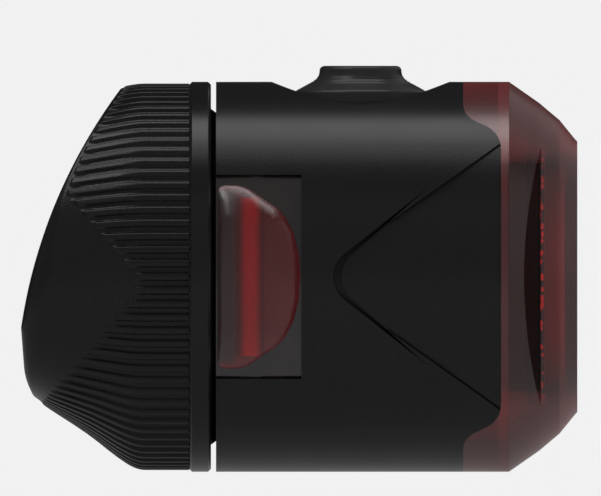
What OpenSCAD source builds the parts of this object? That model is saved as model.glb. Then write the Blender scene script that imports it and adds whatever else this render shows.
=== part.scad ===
// Rechargeable bicycle rear light with a ribbed rear cap that pulls off to bare a plug.
// Sizes in millimetres. X runs along the light towards the lens, Z is up, the button is on top.
// The origin is the point of the post saddle that lies on the light's axis.

/* [Housing] */
// Outer diameter of housing, lens and ring
body_d = 34; // [32:0.5:38]
// Length from the housing's rear rim to the lens shoulder
body_len = 25.6; // [25:0.1:28]
// Housing wall
housing_wall = 2.2; // [1.9:0.1:2.5]
// Width of the red band between the housing's side tongue and the lens shoulder
band_w = 0.75; // [0.5:0.05:1.2]
// How far the lens reaches back above and below the tongue
lobe_len = 3.3; // [2.6:0.1:3.6]
// How far below the housing's top the lobe's curve starts
lobe_drop = 1.9; // [1.5:0.1:2.5]
// Depth of the wedge panel at its point
wedge_depth = 0.5; // [0.3:0.05:0.8]
// Depth of the wedge panel at the lens end
wedge_end = 0.12; // [0.1:0.01:0.25]
// Distance from the rear rim to the wedge panel's point
wedge_x = 10.2; // [9:0.1:12]
// Half height of the wedge panel at the lens end
wedge_half = 11.6; // [9:0.1:12]
// Width of the groove round the wedge panel's point
groove_w = 0.75; // [0.5:0.05:1]
// Depth of that groove
groove_depth = 1.0; // [0.8:0.05:1.2]

/* [Side windows] */
// Length of the window along the light
window_len = 7.45; // [6.5:0.05:8.5]
// Height of the window
window_h = 17.8; // [15:0.1:18.4]
// Depth of the window's floor below the housing surface
window_sink = 0.9; // [0.6:0.05:1.2]
// Height of the raised pane above the window's floor
pane_h = 0.8; // [0.4:0.05:1.0]

/* [Lens] */
// Length of the lens in front of its shoulder
nose_len = 5.9; // [5.4:0.1:7]
// Radius of the flat front face
nose_r = 11.8; // [11:0.1:12.6]
// Where the two slopes of the lens meet, measured from the shoulder
slope_x = 2.6; // [2.2:0.1:3]
// Radius where the two slopes meet
slope_r = 15.15; // [14.6:0.05:15.6]
// Thickness of the flat front window
face_t = 1.2; // [1:0.1:1.6]
// Radius of the inner optic
optic_r = 11.25; // [11:0.05:11.6]
// Bulge of the inner optic towards the rear
optic_bulge = 1.25; // [0.9:0.05:1.5]

/* [Button] */
// Distance from the rear rim to the button's axis
button_x = 12.6; // [12:0.1:13.4]
// Diameter of the button's crown
crown_d = 7.15; // [6:0.05:8]
// Height of the crown above the housing
crown_up = 1.4; // [1:0.05:2]
// Diameter of the button's skirt
skirt_d = 11.5; // [10.6:0.1:12]
// Diameter of the dish around the button
dish_d = 15.5; // [14.4:0.1:16.5]
// Depth of the dish at the button's skirt
dish_depth = 0.78; // [0.5:0.02:0.9]
// Travel of the button
button_travel = 0.6; // [0.3:0.05:0.8]

/* [Rear cap] */
// Gap between ring and housing
parting = 0.44; // [0.3:0.02:0.8]
// Thickness of the smooth ring
ring_t = 1.9; // [1.5:0.1:2.5]
// How far the rib tops stay below the ring
rib_sink = 0.15; // [0.05:0.05:0.6]
// Length of the straight ribbed zone
rib_len = 3.84; // [3:0.05:5]
// Number of ribs
rib_count = 176; // [120:2:180]
// Depth between the ribs
rib_depth = 0.35; // [0.2:0.05:0.5]
// Slope of the cap's sides towards the back
side_slope = 0.27; // [0.2:0.01:0.32]
// Slope of the cap's underside towards the back
under_slope = 0.76; // [0.6:0.01:0.8]
// Depth of the slight hollow along the cap's underside
under_hollow = 0.3; // [0.1:0.02:0.4]
// Rise of the smooth panel's upper edge per millimetre
hip_up = 1.17; // [1:0.01:1.4]
// Fall of the smooth panel's lower edge per millimetre
hip_down = 1.19; // [1:0.01:1.4]
// Radius of the cap's back, seen from the side
back_r = 45; // [44:0.5:47]
// Distance of the cap's rearmost point behind the housing's rear rim
back_len = 17.0; // [16.8:0.05:17.4]
// Depth of that point below the axis
back_turn = 4.46; // [4.2:0.02:4.8]
// Radius of the cap's lower corner
back_corner_r = 5.05; // [4.8:0.05:5.3]

/* [Saddle] */
// Thickness of the pad
pad_t = 2.2; // [1.9:0.05:2.3]
// Width of the pad
pad_w = 15; // [13:0.5:17]
// Height of the pad
pad_h = 18.4; // [16.5:0.1:19]
// Corner radius of the pad
pad_corner_r = 4; // [2:0.5:5]
// Radius of the post that the saddle fits
post_r = 13.6; // [12.7:0.1:16]
// Depth of the saddle on the light's axis
saddle_depth = 1.23; // [0.9:0.01:1.3]
// Lean of the post
post_lean = 15; // [10:1:20]

/* [Plug] */
// Width of the plug's shell
usb_w = 12.0; // [11.9:0.05:12.1]
// Height of the plug's shell
usb_h = 4.5; // [4.4:0.05:4.6]
// Length of the plug behind the housing's rear rim
usb_len = 11.8; // [11.2:0.1:12]
// Wall of the plug's shell
usb_wall = 0.3; // [0.2:0.05:0.4]

/* [Inside] */
// Thickness of the rear plate
plate_t = 1.6; // [1.4:0.1:2]
// Depth of the rear plate inside the rear rim
plate_x = 3.2; // [3:0.1:3.6]
// Thickness of the circuit boards
board_t = 1.0; // [0.8:0.1:1.2]
// Length of the cell
cell_len = 13; // [11:0.5:13.4]
// Width of the cell
cell_w = 17; // [14:0.5:17.4]
// Height of the cell
cell_h = 5.6; // [4.5:0.1:5.8]
// Thickness of the foam between the cell and the board
foam_t = 1.6; // [1.4:0.1:1.8]
// Radius of the reflector barrel
barrel_r = 10.0; // [9.6:0.05:10.2]
// How far the screws' circle lies inside the housing's bore
screw_inset = 1.9; // [1.75:0.05:2.3]
// Radius of a screw's shank
screw_r = 0.75; // [0.6:0.05:0.9]

/* [Clearances] */
// Gap around parts that slide
run_gap = 0.25; // [0.15:0.05:0.4]
// Gap around parts that are glued or seated
seat_gap = 0.05; // [0.03:0.01:0.1]
// Gap between the plug's shell and the cell's tabs
tab_gap = 0.4; // [0.3:0.05:0.5]

/* [Hidden] */
$fn = 96;
body_r = body_d / 2;
bore_r = body_r - housing_wall;
tongue_x = body_len - band_w;
lobe_x = tongue_x - lobe_len;
lobe_z = body_r - lobe_drop;
rib_r = body_r - rib_sink;
screw_pcd_r = bore_r - screw_inset;
board_half = bore_r - 2.8;
tab_w = cell_w / 2 - 0.1 - usb_w / 2 - tab_gap;
nose_x = body_len + nose_len;
ring_front = -parting;
ring_back = ring_front - ring_t;
bend_x = ring_back - rib_len;
spigot_r = bore_r - run_gap;
spigot_x = plate_x - 0.6;
cup_r = spigot_r - 1.95;
cup_wall = 1.2;
cup_x = -8.6;
plate_front = plate_x + plate_t;
led_x = tongue_x - 2.85;
led_front = led_x + board_t;
optic_x = body_len + slope_x + 0.3;
optic_sphere_r = (optic_r * optic_r + optic_bulge * optic_bulge) / (2 * optic_bulge);
barrel_x = optic_x - 0.2 - optic_bulge + barrel_r * barrel_r / (2 * optic_sphere_r) - 0.1;
back_rise = 6.45;
back_cx = sqrt(back_r * back_r - back_rise * back_rise) - back_len;
back_cz = -back_turn - back_rise;
back_flat = 3.35;
back_lean = 0.076;
flat_z = -back_turn - back_flat;
flat_x = back_flat * back_lean - back_len;
corner_cx = flat_x + back_corner_r * cos(atan(back_lean));
corner_cz = flat_z + back_corner_r * sin(atan(back_lean));
corner_low = corner_cz - 0.827 * back_corner_r;
pad_z = 1.6;
saddle_x = back_cx - sqrt(back_r * back_r - back_cz * back_cz) + saddle_depth;
hip_z = -0.54;
bend_soft = 1.5;
button_z = body_r + crown_up;
switch_z = 3.4;
stem_low = 2.2;
stem_z = switch_z + 1.1;
skirt_r = skirt_d / 2;
flange_r = skirt_r + 0.7;
flange_z = sqrt(bore_r * bore_r - flange_r * flange_r) - 0.39;
window_r = body_r - window_sink;

// Helpers
function arc(c, r, a0, a1, n) =
    [for (i = [0 : n]) [c[0] + r * cos(a0 + (a1 - a0) * i / n), c[1] + r * sin(a0 + (a1 - a0) * i / n)]];

module place() {
    translate([-saddle_x, 0, 0])
        children();
}

module along_x() {
    rotate([0, 90, 0])
        children();
}

module across_y(w) {
    rotate([90, 0, 0])
        linear_extrude(height = w, center = true)
            children();
}

module rod(x0, x1, r) {
    translate([x0, 0, 0])
        along_x()
            cylinder(h = x1 - x0, r = r);
}

module slab(x0, x1, y0, y1, z0, z1) {
    translate([x0, y0, z0])
        cube([x1 - x0, y1 - y0, z1 - z0]);
}

// Rear cap surface
function side_fall(d) = sqrt(d * d + bend_soft * bend_soft) - bend_soft;
function under_part(a) = pow(max(0, -sin(a)), 2.6);
function slope_at(a) = side_slope + (under_slope - side_slope) * under_part(a);
function under_dip(d) = pow(sin(180 * min(1, max(0, (d - 1.2) / 6.6))), 1.5);
function cap_r(d, a) =
    rib_r - slope_at(a) * side_fall(max(0, d)) - under_hollow * under_part(a) * under_dip(d);
function arc_x(cx, cz, r, z) = cx - sqrt(r * r - (z - cz) * (z - cz));
function back_at(z) =
    z > -back_turn ? arc_x(back_cx, back_cz, back_r, z)
    : z > flat_z ? (-back_turn - z) * back_lean - back_len
    : arc_x(corner_cx, corner_cz, back_corner_r, max(z, corner_low));
function edge_round(a) = 0.3 + 2.0 * exp(-pow(sin(a) + 0.07, 2) / 0.18);
function end_drop(a) = 0.15 + 0.9 * edge_round(a);
function past_back(d, a) = bend_x - d - back_at((cap_r(d, a) - end_drop(a)) * sin(a));
function find_end(a, lo, hi, n) =
    n == 0 ? (lo + hi) / 2
    : past_back((lo + hi) / 2, a) > 0 ? find_end(a, (lo + hi) / 2, hi, n - 1)
    : find_end(a, lo, (lo + hi) / 2, n - 1);
function hip_gap(d, a) =
    let (z = cap_r(d, a) * sin(a) - hip_z)
    z > 0 ? z - hip_up * d : -z - hip_down * d;
function find_hip(a, lo, hi, n) =
    n == 0 ? (lo + hi) / 2
    : hip_gap((lo + hi) / 2, a) > 0 ? find_hip(a, (lo + hi) / 2, hi, n - 1)
    : find_hip(a, lo, (lo + hi) / 2, n - 1);

rib_step = 360 / rib_count;
rib_offs = [-0.3, 0.3, 0.5];
rib_low = [0, 0, 1];
line_count = 3 * rib_count;
ring_count = 11;
last_ring = ring_count - 1;
half_ribs = rib_count / 2;

function line_angle(i) = -90 + (floor(i / 3) + rib_offs[i % 3]) * rib_step;
function twin(i) =
    let (j = floor(i / 3))
    let (k = i % 3)
    k == 2 ? 3 * ((2 * rib_count - j - 1) % rib_count) + 2
    : 3 * ((rib_count - j) % rib_count) + 1 - k;

// Each entry is the distance behind the bend and the depth below the rib tops
function line_stations(i) =
    let (a = line_angle(i))
    let (low = rib_low[i % 3] * rib_depth)
    let (end = find_end(a, 0, 12, 24))
    let (free = end - edge_round(a))
    let (mark = find_hip(a, 0, 12, 20))
    let (hip = min(max(0.75, mark), free - 0.25))
    let (stop = hip - 0.4)
    let (turn = min(1.6, stop * 0.4))
    let (rise = min(hip + 0.8, free - 0.08))
    let (panel = rib_depth * 0.35)
    let (fall = end_drop(a) - panel)
    [
        [-rib_len, low], [0, low], [turn, low], [(turn + stop) / 2, low], [stop, low],
        [hip, rib_depth * 0.6], [rise, panel], [free, panel],
        [free + 0.643 * edge_round(a), panel + 0.234 * fall],
        [free + 0.927 * edge_round(a), panel + 0.625 * fall], [end, panel + fall]
    ];
lines = [for (i = [0 : line_count - 1]) line_stations(i)];
low_line = 13;
function end_point(i) =
    let (d = lines[i][last_ring][0])
    [bend_x - d, 0, (cap_r(d, line_angle(i)) - lines[i][last_ring][1]) * sin(line_angle(i))];
cap_points = concat(
    [
        for (m = [0 : ring_count - 1])
            for (i = [0 : line_count - 1])
                let (d = lines[i][m][0])
                let (a = line_angle(i))
                let (r = cap_r(d, a) - lines[i][m][1])
                [bend_x - d, r * cos(a), r * sin(a)]
    ],
    [[ring_back, 0, 0]],
    [end_point(low_line)]
);
function cap_id(m, i) = m * line_count + (i + line_count) % line_count;
cap_faces = concat(
    [for (i = [0 : line_count - 1]) [ring_count * line_count, cap_id(0, i + 1), cap_id(0, i)]],
    [
        for (m = [0 : ring_count - 2])
            for (i = [0 : line_count - 1])
                [cap_id(m, i), cap_id(m, i + 1), cap_id(m + 1, i + 1)]
    ],
    [
        for (m = [0 : ring_count - 2])
            for (i = [0 : line_count - 1])
                [cap_id(m, i), cap_id(m + 1, i + 1), cap_id(m + 1, i)]
    ],
    [
        for (i = [low_line + 1 : 3 * half_ribs - 1])
            [
                cap_id(last_ring, i), cap_id(last_ring, i + 1),
                cap_id(last_ring, twin(i + 1)), cap_id(last_ring, twin(i))
            ]
    ],
    [
        [
            ring_count * line_count + 1, cap_id(last_ring, low_line), cap_id(last_ring, low_line + 1),
            cap_id(last_ring, twin(low_line + 1)), cap_id(last_ring, twin(low_line))
        ]
    ],
    [
        for (i = [twin(low_line) - line_count : low_line - 1])
            [ring_count * line_count + 1, cap_id(last_ring, i), cap_id(last_ring, i + 1)]
    ]
);

module rear_cap() {
    color("#1b1b1c")
    place()
    difference() {
        polyhedron(points = cap_points, faces = cap_faces, convexity = 6);
        rod(cup_x - seat_gap, 0, cup_r + seat_gap);
        slab(-usb_len - 0.6, cup_x + 1, -usb_w / 2 - 0.5, usb_w / 2 + 0.5, -usb_h / 2 - 0.5, usb_h / 2 + 0.5);
        difference() {
            pad_area(0);
            back_cylinder(back_r - pad_t);
        }
    }
}

module cap_ring() {
    color("#202022")
    place()
    difference() {
        along_x()
            rotate_extrude()
                polygon([
                    [0, cup_x], [cup_r, cup_x], [cup_r, ring_back], [body_r - 0.25, ring_back],
                    [body_r, ring_back + 0.25], [body_r, ring_front - 0.25], [body_r - 0.25, ring_front],
                    [spigot_r + 0.1, ring_front], [spigot_r - 0.3, 0.1], [spigot_r - 0.9, 0.2],
                    [spigot_r - 0.9, 1.7], [spigot_r, 1.8], [spigot_r, spigot_x - 0.3],
                    [spigot_r - 0.3, spigot_x], [0, spigot_x]
                ]);
        rod(cup_x + cup_wall, spigot_x + 1, cup_r - cup_wall);
        slab(cup_x - 1, cup_x + 2, -usb_w / 2 - 0.5, usb_w / 2 + 0.5, -usb_h / 2 - 0.5, usb_h / 2 + 0.5);
    }
}

module seal_ring() {
    color("#2a2a2c")
    place()
    translate([0.95, 0, 0])
        along_x()
            rotate_extrude()
                translate([spigot_r - 0.9 + seat_gap + 0.48, 0])
                    circle(r = 0.48, $fn = 40);
}

// Pad against the post, set into the cap's back
module pad_area(gap) {
    y = pad_w / 2 - pad_corner_r;
    z = pad_h / 2 - pad_corner_r;
    r = pad_corner_r - gap;
    translate([-back_len - 3, 0, pad_z])
        rotate([90, 0, 90])
            linear_extrude(height = back_len - 3)
                polygon(concat(
                    arc([y, z], r, 0, 90, 8), arc([-y, z], r, 90, 180, 8),
                    arc([-y, -z], r, 180, 270, 8), arc([y, -z], r, 270, 360, 8)
                ));
}

module back_cylinder(r) {
    translate([back_cx, 0, back_cz])
        rotate([90, 0, 0])
            cylinder(h = 50, r = r, center = true, $fn = 360);
}

module saddle_pad() {
    color("#161617")
    place()
    difference() {
        intersection() {
            pad_area(seat_gap);
            across_y(40)
                polygon(concat(
                    [for (z = [-12 : 0.5 : 15]) [back_at(z) + 0.12, z]],
                    [[-6, 15], [-6, -12]]
                ));
        }
        back_cylinder(back_r - pad_t + seat_gap);
        translate([saddle_x, 0, 0])
            rotate([0, post_lean, 0])
                translate([-post_r, 0, 0])
                    cylinder(h = 60, r = post_r, center = true);
    }
}

// Housing outline seen from the side, with the tongue between the two lens lobes
function tongue_line(gap) =
    let (t = 65)
    let (r1 = 1.6)
    let (r2 = 2.2)
    let (run = (lobe_len - (r1 + r2) * (1 - cos(t))) / sin(t))
    let (x1 = lobe_x + gap + r1 * (1 - cos(t)) + run * sin(t))
    let (z1 = lobe_z - r1 * sin(t) - run * cos(t))
    concat(
        [[lobe_x + gap, 30]],
        arc([lobe_x + gap + r1, lobe_z], r1, 180, 180 + t, 8),
        arc([x1 + r2 * (1 - cos(t)) - r2, z1 - r2 * sin(t)], r2, t, 0, 8)
    );
function mirror_z(points) = [for (i = [len(points) - 1 : -1 : 0]) [points[i][0], -points[i][1]]];

module tongue_area(gap) {
    across_y(60)
        polygon(concat([[-20, 30]], tongue_line(gap), mirror_z(tongue_line(gap)), [[-20, -30]]));
}

module window_area(gap) {
    across_y(60)
        polygon([
            [-1, -window_h / 2 - gap], [window_len + gap, -window_h / 2 - gap],
            [window_len + gap, window_h / 2 + gap], [-1, window_h / 2 + gap]
        ]);
}

module wedge_cut() {
    half = atan2(wedge_half, tongue_x - wedge_x);
    difference() {
        across_y(60)
            polygon(concat(
                [[tongue_x + 1, wedge_half + tan(half)]],
                arc([wedge_x + 2.5, 0], 2.5, 90 + half, 270 - half, 10),
                [[tongue_x + 1, -wedge_half - tan(half)]]
            ));
        translate([wedge_x - 1, 0, 0])
            along_x()
                cylinder(h = tongue_x - wedge_x + 3, r1 = body_r - wedge_depth, r2 = body_r - wedge_end);
    }
}

// Groove round the wedge panel's point, narrowing along both arms
module groove_cut() {
    half = atan2(wedge_half, tongue_x - wedge_x);
    end_x = wedge_x + 8.3;
    end_z = 2.5 * sin(90 + half) + (end_x - wedge_x - 2.5 - 2.5 * cos(90 + half)) * tan(half);
    difference() {
        across_y(60)
            polygon(concat(
                [[end_x, end_z]],
                arc([wedge_x + 2.5, 0], 2.5, 90 + half, 270 - half, 10),
                [[end_x, -end_z]],
                arc([wedge_x + 2.5 + groove_w, 0], 2.5, 270 - half, 90 + half, 10)
            ));
        rod(0, body_len, body_r - groove_depth);
    }
}

// Dish that follows the housing's curve round the button
dish_radii = [skirt_r - 0.9, (skirt_r + dish_d / 2) / 2 - 0.1, dish_d / 2 + 1.4];
dish_steps = 72;
dish_slope = dish_depth / (dish_d / 2 - skirt_r);
function dish_z(r, a) = sqrt(body_r * body_r - pow(r * sin(a), 2)) + dish_slope * (r - dish_d / 2);
dish_points = concat(
    [
        for (r = dish_radii)
            for (i = [0 : dish_steps - 1])
                let (a = (i + 0.5) * 360 / dish_steps)
                [r * cos(a), r * sin(a), dish_z(r, a)]
    ],
    [[0, 0, body_r - 2], [0, 0, body_r + 6]]
);
function dish_id(m, i) = m * dish_steps + i % dish_steps;
dish_faces = concat(
    [for (i = [0 : dish_steps - 1]) [3 * dish_steps, dish_id(0, i), dish_id(0, i + 1)]],
    [
        for (m = [0, 1])
            for (i = [0 : dish_steps - 1])
                [dish_id(m, i), dish_id(m + 1, i), dish_id(m + 1, i + 1)]
    ],
    [
        for (m = [0, 1])
            for (i = [0 : dish_steps - 1])
                [dish_id(m, i), dish_id(m + 1, i + 1), dish_id(m, i + 1)]
    ],
    [for (i = [0 : dish_steps - 1]) [3 * dish_steps + 1, dish_id(2, i + 1), dish_id(2, i)]]
);

module screw_spots() {
    for (a = [58, 122, 238, 302])
        rotate([a, 0, 0])
            translate([0, screw_pcd_r, 0])
                children();
}

module housing() {
    color("#1c1c1d")
    place()
    difference() {
        union() {
            difference() {
                intersection() {
                    rod(0, body_len, body_r);
                    tongue_area(0);
                }
                wedge_cut();
                groove_cut();
                rod(-1, body_len + 1, bore_r);
            }
            difference() {
                rod(plate_front, plate_front + 1.2, bore_r + 0.2);
                rod(plate_front - 1, plate_front + 3, bore_r - 1.3);
            }
            intersection() {
                screw_spots()
                    rod(plate_front + 0.3, plate_front + 2.6, 2.1);
                rod(0, 20, bore_r + 0.3);
            }
        }
        intersection() {
            window_area(0);
            union() {
                slab(-1, 12, 9, 30, -20, 20);
                slab(-1, 12, -30, -9, -20, 20);
            }
        }
        screw_spots()
            rod(plate_front - 1, plate_front + 4, screw_r + seat_gap);
        translate([button_x, 0, 0])
            cylinder(h = 40, r = skirt_r + run_gap);
        translate([button_x, 0, 0])
            polyhedron(points = dish_points, faces = dish_faces, convexity = 4);
    }
}

module front_lens() {
    color("#a01020")
    place()
    difference() {
        union() {
            difference() {
                along_x()
                    rotate_extrude()
                        polygon(concat(
                            [[0, lobe_x - 1], [body_r, lobe_x - 1], [body_r, body_len - 0.05]],
                            [[body_r - 0.12, body_len + 0.12], [slope_r, body_len + slope_x]],
                            [[(slope_r + nose_r) / 2 + 0.2, (body_len + slope_x + nose_x) / 2 + 0.1]],
                            [[nose_r + 0.15, nose_x - 0.15], [nose_r, nose_x], [0, nose_x]]
                        ));
                tongue_area(0);
            }
            rod(lobe_x - 1.4, body_len, bore_r - seat_gap);
        }
        along_x()
            rotate_extrude()
                polygon([
                    [0, lobe_x - 3], [bore_r - 0.9, lobe_x - 3], [bore_r - 0.9, body_len - 0.6],
                    [optic_r + 0.9, optic_x - 1.5], [optic_r + seat_gap, optic_x - 1.4],
                    [optic_r + seat_gap, optic_x + seat_gap], [optic_r - 0.45, optic_x + seat_gap],
                    [optic_r - 1.25, nose_x - face_t], [0, nose_x - face_t]
                ]);
    }
}

module side_window(s) {
    place()
    intersection() {
        union() {
            along_x()
                rotate_extrude()
                    polygon([
                        [bore_r + seat_gap, seat_gap], [window_r, seat_gap],
                        [window_r, window_len], [bore_r + seat_gap, window_len]
                    ]);
            intersection() {
                along_x()
                    rotate_extrude()
                        polygon([
                            [bore_r + 0.5, seat_gap], [window_r + pane_h * 0.45, seat_gap],
                            [window_r + pane_h, window_len * 0.34], [window_r + pane_h, window_len * 0.46],
                            [window_r + 0.12, window_len - 0.05], [bore_r + 0.5, window_len - 0.05]
                        ]);
                across_y(60)
                    polygon(concat(
                        [[0, window_h / 2 - 0.75], [window_len * 0.3, window_h / 2 - 0.75]],
                        [[window_len * 0.74, window_h * 0.32]],
                        arc([window_len - 0.15 - 7.5, 0], 7.5, 42, -42, 12),
                        [[window_len * 0.74, -window_h * 0.32]],
                        [[window_len * 0.3, 0.75 - window_h / 2], [0, 0.75 - window_h / 2]]
                    ));
            }
        }
        window_area(0);
        slab(-1, 12, s > 0 ? 5 : -30, s > 0 ? 30 : -5, -20, 20);
    }
}

module side_window_left() {
    color("#9a1622")
        side_window(1);
}

module side_window_right() {
    color("#9a1622")
        side_window(-1);
}

// Rear plate and plug
module back_plate() {
    color("#252527")
    place()
    difference() {
        union() {
            rod(plate_x, plate_front, bore_r - 0.12);
            slab(
                plate_x - 2.4, plate_x + 0.5, -usb_w / 2 - 1.5, usb_w / 2 + 1.5,
                -usb_h / 2 - 1.5, usb_h / 2 + 1.5
            );
        }
        slab(
            -5, 10, -usb_w / 2 - seat_gap, usb_w / 2 + seat_gap,
            -usb_h / 2 - seat_gap, usb_h / 2 + seat_gap
        );
        screw_spots()
            rod(plate_x - 1, plate_front + 1, screw_r + 0.1);
        screw_spots()
            rod(plate_x - 1, plate_x + 0.9, 1.45);
    }
}

module back_plate_screws() {
    color("#b8b8ba")
    place()
    screw_spots()
        difference() {
            union() {
                rod(plate_x + 0.1, plate_x + 0.9, 1.35);
                rod(plate_x + 0.9, plate_front + 2.2, screw_r);
            }
            slab(plate_x, plate_x + 0.5, -1.0, 1.0, -0.17, 0.17);
            slab(plate_x, plate_x + 0.5, -0.17, 0.17, -1.0, 1.0);
        }
}

module usb_shell() {
    color("#c4c4c6")
    place()
    difference() {
        slab(-usb_len, plate_front + 4.3, -usb_w / 2, usb_w / 2, -usb_h / 2, usb_h / 2);
        slab(
            -usb_len - 1, plate_front + 5, -usb_w / 2 + usb_wall, usb_w / 2 - usb_wall,
            -usb_h / 2 + usb_wall, usb_h / 2 - usb_wall
        );
        for (y = [-3.1, 3.1])
            slab(-usb_len + 5.2, -usb_len + 7.6, y - 1, y + 1, -5, 5);
    }
}

module usb_tongue() {
    color("#e8e8ea")
    place()
    union() {
        slab(
            -usb_len + 0.4, plate_x, -usb_w / 2 + usb_wall + seat_gap, usb_w / 2 - usb_wall - seat_gap,
            -usb_h / 2 + usb_wall + seat_gap, -0.1
        );
        slab(
            plate_x, plate_front + 4.2, -usb_w / 2 + usb_wall + seat_gap, usb_w / 2 - usb_wall - seat_gap,
            -usb_h / 2 + usb_wall + seat_gap, usb_h / 2 - usb_wall - seat_gap
        );
    }
}

module usb_contacts() {
    color("#c9a44a")
    place()
    for (y = [-3.5, -1, 1, 3.5])
        slab(-usb_len + (abs(y) > 2 ? 1.2 : 2.2), plate_x - 0.2, y - 0.55, y + 0.55, -0.1, 0.06);
}

// Boards, cell and switch
module main_board() {
    color("#1f5a34")
    place()
    difference() {
        slab(plate_front + 0.1, led_x - 0.1, -board_half, board_half, -board_t, 0);
        slab(plate_front - 1, plate_front + 4.45, -usb_w / 2 - 0.15, usb_w / 2 + 0.15, -5, 5);
    }
}

module chip(back, side, long, wide, high) {
    translate([led_x - back, side, 0])
        cube([long, wide, high]);
}

module charge_chips() {
    color("#1d1d20")
    place() {
        chip(4.8, -board_half + 3, 3, 3, 0.9);
        chip(4.6, board_half - 6.4, 2, 3, 1.2);
        chip(10.8, board_half - 4.4, 2, 3, 0.8);
        chip(10.6, -board_half + 2.4, 1.2, 1.6, 0.6);
        chip(8.6, -board_half + 2.4, 1.2, 1.6, 0.6);
        chip(6.0, board_half - 2.6, 0.8, 1.6, 0.6);
        chip(4.4, -board_half + 7.8, 1, 1.8, 0.5);
    }
}

module inner_carrier() {
    color("#2e2e31")
    place()
    difference() {
        slab(
            plate_front, led_x, -cell_w / 2 - 1.4, cell_w / 2 + 1.4,
            -board_t - foam_t - cell_h - 1.1, -board_t
        );
        slab(
            plate_front + 1, led_x - 1, -cell_w / 2 - 0.2, cell_w / 2 + 0.2,
            -board_t - foam_t - cell_h, 1
        );
        slab(plate_front - 1, plate_front + 2, -usb_w / 2 - 0.3, usb_w / 2 + 0.3, -usb_h / 2 - 0.2, 5);
        slab(plate_front - 1, plate_front + 2.8, -20, 20, -30, -board_t - foam_t - cell_h);
    }
}

module battery_cell() {
    color("#9fa6ad")
    place()
    slab(
        led_x - 1.1 - cell_len, led_x - 1.1, -cell_w / 2, cell_w / 2,
        -board_t - foam_t - cell_h, -board_t - foam_t
    );
}

module battery_pad() {
    color("#3c3c40")
    place()
    slab(
        led_x - cell_len + 0.6, led_x - 2.2, -cell_w / 2 + 1.5, cell_w / 2 - 1.5,
        -board_t - foam_t, -board_t
    );
}

module battery_tabs() {
    color("#c8c8c0")
    place()
    for (y = [0.1 - cell_w / 2, usb_w / 2 + tab_gap])
        slab(
            led_x - cell_len - 0.9, led_x - cell_len + 0.3, y, y + tab_w,
            -board_t - foam_t, -board_t
        );
}

module switch_body() {
    color("#2b2b2e")
    place()
    difference() {
        slab(button_x - 3, button_x + 3, -3, 3, 0, switch_z);
        translate([button_x, 0, stem_low - button_travel - 0.4])
            cylinder(h = 5, r = 1.9);
    }
}

module switch_stem() {
    color("#3a3a3e")
    place()
    translate([button_x, 0, stem_low])
        cylinder(h = stem_z - stem_low, r = 1.65);
}

module button_plunger() {
    color("#d8d8da")
    place()
    translate([button_x, 0, stem_z])
        cylinder(h = flange_z - 0.8 - stem_z, r = 1.5);
}

module power_button() {
    color("#18181a")
    place()
    translate([button_x, 0, 0])
        rotate_extrude()
            polygon(concat(
                [[0, flange_z - 0.8], [flange_r, flange_z - 0.8], [flange_r, flange_z], [skirt_r, flange_z]],
                [[skirt_r, body_r - 0.85], [skirt_r - 0.12, body_r - 0.68]],
                arc([crown_d / 2 + 0.75, body_r + 0.95], 0.75, 240, 180, 6),
                arc([crown_d / 2 - 0.4, button_z - 0.4], 0.4, 0, 90, 6),
                [[0, button_z]]
            ));
}

module side_leds() {
    color("#f0e6c8")
    place()
    for (y = [0.85 - board_half, board_half - 0.85])
        slab(plate_front + 0.6, plate_front + 2.4, y - 0.75, y + 0.75, 0, 1.2);
}

module led_board() {
    color("#e4e6e2")
    place()
    rod(led_x, led_front, bore_r - 1.1);
}

module board_pins() {
    color("#c9a44a")
    place()
    for (y = [-3.9, -1.3, 1.3, 3.9])
        slab(led_x - 1.4, led_x, y - 0.35, y + 0.35, 0, 0.6);
}

module main_leds() {
    color("#f2dfc0")
    place()
    for (a = [90, 210, 330])
        rotate([a, 0, 0])
            translate([0, 4.2, 0]) {
                slab(led_front, led_front + 0.9, -1.6, 1.6, -1.6, 1.6);
                rod(led_front + 0.9, led_front + 1.5, 1.2);
            }
}

module reflector() {
    color("#3a3a3c")
    place()
    along_x()
        rotate_extrude()
            polygon([
                [6.9, led_front], [bore_r - 1.2, led_front], [bore_r - 1.2, led_front + 0.8],
                [barrel_r, led_front + 0.8], [barrel_r, barrel_x], [barrel_r - 0.6, barrel_x]
            ]);
}

module inner_optic() {
    color("#c01828")
    place()
    intersection() {
        rod(optic_x - 5, optic_x, optic_r);
        translate([optic_x - 0.2 - optic_bulge + optic_sphere_r, 0, 0])
            sphere(r = optic_sphere_r, $fn = 240);
    }
}

cap_ring();
rear_cap();
saddle_pad();
seal_ring();
housing();
front_lens();
side_window_left();
side_window_right();
back_plate();
back_plate_screws();
main_board();
charge_chips();
usb_shell();
usb_tongue();
usb_contacts();
inner_carrier();
battery_cell();
battery_pad();
battery_tabs();
switch_body();
side_leds();
led_board();
board_pins();
main_leds();
reflector();
inner_optic();
power_button();
button_plunger();
switch_stem();
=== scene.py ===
import math

import bmesh
import bpy
from mathutils import Euler, Matrix, Vector


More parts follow.
